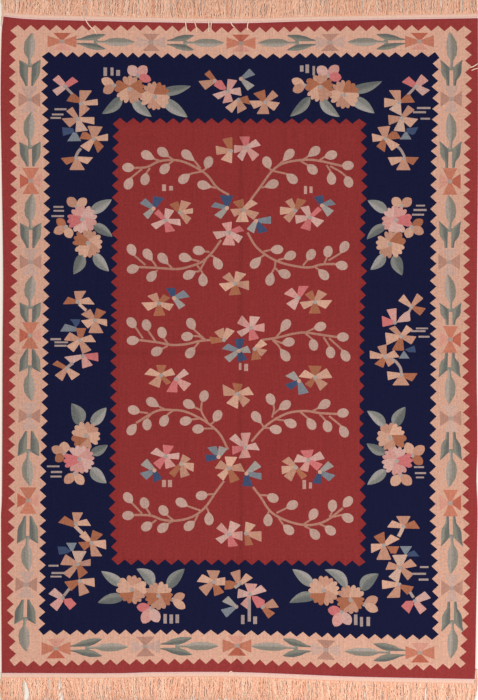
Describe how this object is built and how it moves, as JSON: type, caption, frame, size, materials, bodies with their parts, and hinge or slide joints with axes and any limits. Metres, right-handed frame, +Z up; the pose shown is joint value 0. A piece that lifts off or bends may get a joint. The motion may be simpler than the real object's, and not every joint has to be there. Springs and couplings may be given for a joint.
{
  "type": "kilim",
  "caption": "Flat-woven wool kilim lying flat, red field with flowering branches, dark flower border, zigzag guard stripes and a fringe at each end.",
  "frame": {"origin": "under the middle of the whole piece, on the surface it lies on", "axes": "+Z up, face side up; +Y along the warps towards the fringe shown at the top; +X across the width to the right"},
  "size_m": [1.22, 1.8474, 0.003],
  "materials": {
    "wool_cloth": "matte, weft-faced wool weave",
    "warp_yarn": "matte, undyed spun yarn"
  },
  "bodies": {
    "root": {"kilim_cloth": "wool_cloth", "fringe_top": "warp_yarn", "fringe_bottom": "warp_yarn"}
  },
  "joints": []
}
